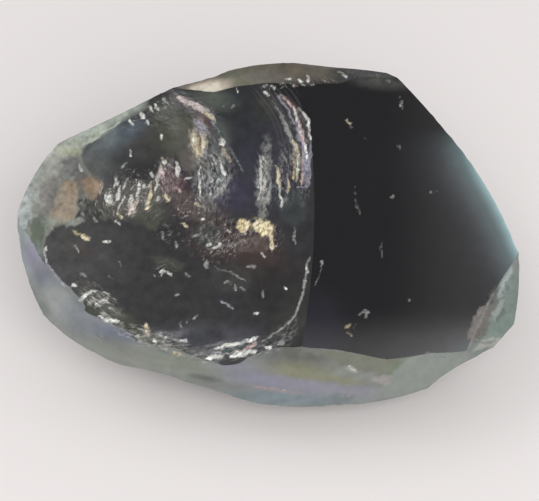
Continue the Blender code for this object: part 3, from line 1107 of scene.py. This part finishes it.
def to_rim(u, v):
    """Moves points to where the upper and lower sides meet."""
    for _ in range(4):
        here, slope_u, slope_v = with_slopes(thickness, u, v)
        slope = np.hypot(slope_u, slope_v)
        step = np.minimum(np.abs(here) / slope, 0.3) * np.sign(here) / slope
        u, v = u - step * slope_u, v - step * slope_v
    return u, v


def all_corners(marks):
    """The marks of the four corners of every grid cell."""
    return marks[:-1, :-1], marks[1:, :-1], marks[1:, 1:], marks[:-1, 1:]


def lay_grid():
    """Grid points over the stone, snapped to its rim and its upper edges, and the cells used."""
    us = np.concatenate((np.arange(*GRID_U[:2], FINE), np.arange(*GRID_U[1:], COARSE)))
    vs = np.arange(*GRID_V, ROWS)
    shape = (len(us), len(vs))
    u, v = (side.ravel() for side in np.meshgrid(us, vs, indexing="ij"))
    step_u = np.repeat(np.gradient(us), shape[1])
    step_v = np.full(u.shape, ROWS)
    thick, slope_u, slope_v = with_slopes(thickness, u, v)
    deep = (thick / np.hypot(slope_u, slope_v) > 0.3 * FINE).reshape(shape)
    grown = np.zeros_like(deep)
    for i in (-1, 0, 1):
        for j in (-1, 0, 1):
            grown |= np.roll(deep, (i, j), axis=(0, 1))
    rim = (grown & ~deep).ravel()
    cells = np.all(all_corners(grown), axis=0) & np.any(all_corners(deep), axis=0)
    deep = deep.ravel()
    su, sv, creased = snap_to_creases(u, v, step_u, step_v)
    u, v = np.where(deep, su, u), np.where(deep, sv, v)
    u[rim], v[rim] = to_rim(u[rim], v[rim])
    return u, v, cells, creased & deep, shape


def merge_cells(cells, free):
    """Which two-by-two groups of cells are used and have all their points free of the rim."""
    n, m = cells.shape[0] // 2, cells.shape[1] // 2
    merged = np.ones((n, m), bool)
    for i in (0, 1):
        for j in (0, 1):
            merged &= cells[i : 2 * n : 2, j : 2 * m : 2]
    for i in (0, 1, 2):
        for j in (0, 1, 2):
            merged &= free[i : i + 2 * n : 2, j : j + 2 * m : 2][:n, :m]
    return merged


def blocks(cells, shared, number):
    """Loops of points round the merged cells of the plainer lower side, and the cells left."""
    merged = merge_cells(cells, ~shared[number])
    wide = np.pad(merged, 1)
    loops, single = [], cells.copy()
    for p, q in zip(*np.nonzero(merged)):
        i, j = 2 * p, 2 * q
        single[i : i + 2, j : j + 2] = False
        loop = []
        for corner, middle, beyond in BLOCK_CORNERS:
            loop.append(number[i + corner[0], j + corner[1]])
            if not wide[p + 1 + beyond[0], q + 1 + beyond[1]]:
                loop.append(number[i + middle[0], j + middle[1]])
        loops.append(loop)
    return loops, single


def cell_points(cells, number):
    """The numbers of the four corner points of each used cell."""
    i, j = np.nonzero(cells)
    return number[i, j], number[i + 1, j], number[i + 1, j + 1], number[i, j + 1]


def triangles(cells, number, creased, shared):
    """Cells cut along the diagonal that follows a crease, less those flat in the rim."""
    a, b, c, d = cell_points(cells, number)
    ac, bd = (creased[a] & creased[c]).astype(int), (creased[b] & creased[d]).astype(int)
    cut_ac = (ac > bd) | ((ac == bd) & ((a + c) % 2 == 0))
    first = np.stack((a, b, c, a, c, d), axis=1)
    second = np.stack((a, b, d, b, c, d), axis=1)
    tri = np.where(cut_ac[:, None], first, second).reshape(-1, 3)
    return tri[~shared[tri].all(axis=1)]


def build_stone():
    """Points and faces of the stone, and what the painting needs to know of them."""
    u, v, cells, creased, shape = lay_grid()
    number = np.arange(len(u)).reshape(shape)
    shared = np.bincount(np.concatenate(cell_points(cells, number)), minlength=len(u)) < 4
    upper = triangles(cells, number, creased, shared)
    loops, single = blocks(cells, shared, number)
    lower = triangles(single, number, creased, shared)
    used, own = np.zeros(len(u), bool), np.zeros(len(u), bool)
    used[upper.ravel()] = True
    own[lower.ravel()] = True
    for loop in loops:
        own[loop] = True
    own &= ~shared

    low, order = nearest_two(u, v)
    gap, gap_u, gap_v = crease_gap(u, v)
    edge = gap / np.maximum(np.hypot(gap_u, gap_v), 0.02)
    x, y = picture_of(to_world(u, v, low))
    bottom = lower_side(u, v)
    top = low + upper_detail(x, y, u, v, edge, order[0])
    top = np.where(shared, (low + bottom) / 2.0, np.maximum(top, bottom + LEAST_GLASS))
    top_index, bottom_index = np.full(len(u), -1), np.full(len(u), -1)
    top_index[used] = np.arange(used.sum())
    bottom_index[used] = top_index[used]
    bottom_index[own] = used.sum() + np.arange(own.sum())
    places = np.concatenate((to_world(u, v, top)[used], to_world(u, v, bottom)[own]))
    faces = top_index[upper].tolist() + bottom_index[lower][:, ::-1].tolist()
    faces += [[int(bottom_index[k]) for k in reversed(loop)] for loop in loops]
    points = SimpleNamespace(
        x=x[used], y=y[used], which=order[:, used], thick=(low - bottom)[used], below=(low - bottom)[own],
        corners=top_index[upper].ravel(), other=other_side(upper, order, creased).ravel(),
    )
    return places, faces, points


def other_side(upper, order, creased):
    """Which corners on a crease take the looks of the second face there, not of the first.

    A triangle belongs to one face, and its corners on a crease belong to two."""
    owner = np.where(creased, -1, order[0])[upper].max(axis=1)
    owner = np.where(owner < 0, order[0][upper[:, 0]], owner)[:, None]
    return (order[1][upper] == owner) & (order[0][upper] != owner) & creased[upper]


def add_attribute(mesh, name, first, second, under, points):
    """Stores one look at all face corners: of the upper points as part of either of their two
    faces, and of the points underneath."""
    corners = np.empty(len(mesh.loops), np.int32)
    mesh.loops.foreach_get("vertex_index", corners)
    data = np.concatenate((first, under))[corners]
    swap = np.nonzero(points.other)[0]
    data[swap] = second[points.corners[swap]]
    kind, field = "FLOAT", "value"
    if data.ndim == 2:
        kind, field = "FLOAT_COLOR", "color"
        data = np.concatenate((data, np.ones((len(data), 1))), axis=1)
    layer = mesh.attributes.new(name, kind, "CORNER")
    layer.data.foreach_set(field, data.astype(np.float32).ravel())


def add_stone():
    places, faces, points = build_stone()
    mesh = bpy.data.meshes.new("tektite_glass")
    mesh.from_pydata((places * MM).tolist(), [], faces)
    mesh.shade_smooth()
    mesh.set_sharp_from_angle(angle=SHARP_ANGLE)
    first, second = (paint(points.x, points.y, which, points.thick) for which in points.which)
    under = paint_under(points.below)
    for name in first:
        add_attribute(mesh, name, first[name], second[name], under[name], points)
    stone = bpy.data.objects.new("tektite_glass", mesh)
    bpy.context.scene.collection.objects.link(stone)
    return stone


# ---------------- materials
CLEARNESS = 0.35  # how see-through the palest glass is
GLASS_IOR = 1.5
GLASS_DEPTH = (0.55, 0.64, 0.60, 1.0)
GLASS_DENSITY = 500.0
BUMP_DISTANCE = 0.00006  # m
# Colours of the painted sheen threads along the rounds
SHEEN_THREAD_COLOURS = ((0.46, 0.49, 0.46, 1.0), (0.50, 0.46, 0.49, 1.0))
# Colours of the painted sparkles in the glittering patches
SPARKLE_COLOURS = ((0.74, 0.76, 0.68, 1.0), (0.78, 0.68, 0.58, 1.0))
PAPER = (0.86, 0.815, 0.795, 1.0)

# The painted attributes and how each is read
LOOKS = {
    "tone": "Color", "glint": "Color", "mark": "Fac", "frost": "Fac",
    "glitter": "Fac", "clear": "Fac", "silk": "Fac", "flow": "Vector",
}


class Nodes:
    """A small helper to add and link the nodes of a material or of the world."""

    def __init__(self, owner):
        owner.use_nodes = True
        self.tree = owner.node_tree
        self.shader = self.tree.nodes.get("Principled BSDF")

    def put(self, socket, value):
        if isinstance(value, bpy.types.NodeSocket):
            self.tree.links.new(value, socket)
        else:
            socket.default_value = value

    def new(self, kind, inputs, output=0, **settings):
        """Adds a node with its settings and inputs, and returns one of its outputs."""
        node = self.tree.nodes.new("ShaderNode" + kind)
        for name, value in settings.items():
            setattr(node, name, value)
        for name, value in inputs.items():
            self.put(node.inputs[name], value)
        return node.outputs[output]

    def math(self, operation, a, b, clamp=False):
        return self.new("Math", {0: a, 1: b}, operation=operation, use_clamp=clamp)

    def plus(self, a, b, clamp=False):
        return self.math("ADD", a, b, clamp)

    def times(self, a, b, clamp=False):
        return self.math("MULTIPLY", a, b, clamp)

    def span(self, value, low, high, out_low=0.0, out_high=1.0, step="LINEAR"):
        ends = {"From Min": low, "From Max": high, "To Min": out_low, "To Max": out_high}
        return self.new("MapRange", {"Value": value, **ends}, interpolation_type=step)

    def mix(self, share, a, b, blend="MIX"):
        return self.new("Mix", {0: share, 6: a, 7: b}, 2, data_type="RGBA", blend_type=blend)

    def attribute(self, name, output):
        return self.new("Attribute", {}, output, attribute_name=name)

    def noise(self, where, scale, detail, roughness=0.5):
        numbers = {"Scale": scale, "Detail": detail, "Roughness": roughness}
        return self.new("TexNoise", {"Vector": where, **numbers}, "Fac")

    def stretch(self, vector, factors):
        return self.new("VectorMath", {0: vector, 1: factors}, operation="MULTIPLY")


def add_patterns(n, look):
    """Adds the noises that several parts of the glass share to its looks."""
    look.where = n.new("TexCoord", {}, "Object")
    look.cloud = n.noise(look.where, 700.0, 5.0, 0.6)
    look.grain = n.noise(look.where, 4200.0, 3.0, 0.6)
    look.fine = n.noise(n.stretch(look.flow, (2.6, 1.3, 1.0)), 1.0, 6.0, 0.74)
    look.patchy = n.span(n.noise(look.where, 620.0, 3.0), 0.42, 0.58)
    # pale threads of painted sheen along the rounds
    thread = n.span(n.noise(n.stretch(look.flow, (2.3, 1.2, 1.0)), 1.0, 5.0, 0.68), 0.47, 0.66)
    thread = n.times(thread, n.span(look.patchy, 0.0, 1.0, 0.25, 0.9))
    look.threads = n.times(thread, look.silk)
    # the share of the painted glints that shows, with ragged edges
    ragged = n.times(n.math("SUBTRACT", n.noise(look.where, 2400.0, 5.0, 0.8), 0.5), 3.4)
    look.marked = n.span(n.plus(n.times(ragged, look.mark), look.mark), 0.22, 1.05)


def glass_colour(n, look):
    """The painted tone, clouded and grained, with painted sheen threads, painted sparkles and painted
    glints on it.
    """
    swing = n.times(n.span(look.clear, 0.0, 1.0, 0.64, 0.20), n.span(look.frost, 0.0, 0.1, 0.22, 1.0))
    dapple = n.plus(1.0, n.times(swing, n.span(look.cloud, 0.25, 0.75, -0.5, 0.5)))
    colour = n.mix(1.0, look.tone, dapple, "MULTIPLY")
    fibre = n.times(n.plus(look.silk, look.glitter), 0.55, True)
    contrast = n.plus(1.0, n.times(fibre, n.span(look.fine, 0.40, 0.62, -0.85, 1.1)))
    colour = n.mix(1.0, colour, contrast, "MULTIPLY")
    hue = n.span(n.noise(look.where, 900.0, 1.0), 0.42, 0.58)
    colour = n.mix(look.threads, colour, n.mix(hue, *SHEEN_THREAD_COLOURS))
    # painted sparkles where the glass glitters
    sparkles = n.times(n.span(look.fine, 0.55, 0.64), n.plus(look.patchy, 0.15), True)
    colour = n.mix(n.times(sparkles, look.glitter, True), colour, n.mix(hue, *SPARKLE_COLOURS))
    glints = n.mix(1.0, look.glint, n.span(look.fine, 0.40, 0.62, 0.60, 1.35), "MULTIPLY")
    return n.mix(look.marked, colour, glints)


def glass_height(n, look):
    """Height of the finest relief: grain where the glass is frosted, and the painted glints and sheen
    threads raised a little.
    """
    height = n.times(look.grain, n.plus(n.times(look.frost, 0.8), 0.04))
    height = n.plus(height, n.times(look.marked, 0.5))
    return n.plus(height, look.threads)


def glass_material():
    material = bpy.data.materials.new("tektite_glass")
    n = Nodes(material)
    look = SimpleNamespace(**{name: n.attribute(name, output) for name, output in LOOKS.items()})
    add_patterns(n, look)
    relief = {"Strength": 1.0, "Distance": BUMP_DISTANCE, "Height": glass_height(n, look)}
    n.put(n.shader.inputs["Base Color"], glass_colour(n, look))
    roughness = n.plus(n.times(look.frost, 0.5), n.span(look.cloud, 0.3, 0.7, 0.04, 0.09))
    n.put(n.shader.inputs["Roughness"], roughness)
    n.put(n.shader.inputs["Normal"], n.new("Bump", relief))
    n.put(n.shader.inputs["Transmission Weight"], n.times(look.clear, CLEARNESS))
    n.shader.inputs["IOR"].default_value = GLASS_IOR
    depth = n.new("VolumeAbsorption", {"Color": GLASS_DEPTH, "Density": GLASS_DENSITY})
    n.put(n.tree.nodes["Material Output"].inputs["Volume"], depth)
    return material


# ---------------- the setting
FLOOR_SIZE, FLOOR_Z = 4.0, -0.0002  # m
SKY = (0.97, 0.98, 1.0, 1.0)
SKY_FADE = (0.70, 0.92, 0.75, 0.30)  # from and to which height it dims, and its strength at each
LIT_SPOT = Vector((0.0, 0.0, 0.01))


def add_table():
    bpy.ops.mesh.primitive_plane_add(size=FLOOR_SIZE, location=(0.0, 0.0, FLOOR_Z))
    floor = bpy.context.active_object
    floor.name = "table"
    material = bpy.data.materials.new("paper")
    n = Nodes(material)
    n.shader.inputs["Base Color"].default_value = PAPER
    n.shader.inputs["Roughness"].default_value = 0.9
    n.shader.inputs["Specular IOR Level"].default_value = 0.2
    floor.data.materials.append(material)


def add_light(name, place, size, power, glossy=True):
    data = bpy.data.lights.new(name, "AREA")
    data.shape = "RECTANGLE"
    data.size, data.size_y = size
    data.energy = power
    place = Vector(place)
    add_facing(data, place, place - LIT_SPOT).visible_glossy = glossy


def light_scene():
    """Bright all round and dimmer overhead, with a large lamp in front and a small one behind on
    the left that isn't mirrored in the glass."""
    world = bpy.data.worlds.new("room")
    n = Nodes(world)
    height = n.new("SeparateXYZ", {0: n.new("TexCoord", {}, "Generated")}, "Z")
    sky = n.tree.nodes["Background"]
    sky.inputs["Color"].default_value = SKY
    n.put(sky.inputs["Strength"], n.span(height, *SKY_FADE, "SMOOTHSTEP"))
    bpy.context.scene.world = world
    add_light("window", (-0.5, 0.3, 0.55), (0.5, 0.5), 0.8, glossy=False)
    add_light("front", (0.18, -0.6, 0.5), (0.8, 0.6), 4.2)


add_camera()
add_table()
light_scene()
bpy.context.scene.view_settings.view_transform = "Standard"
stone = add_stone()
stone.data.materials.append(glass_material())
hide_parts("tektite")
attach(stone, "root")
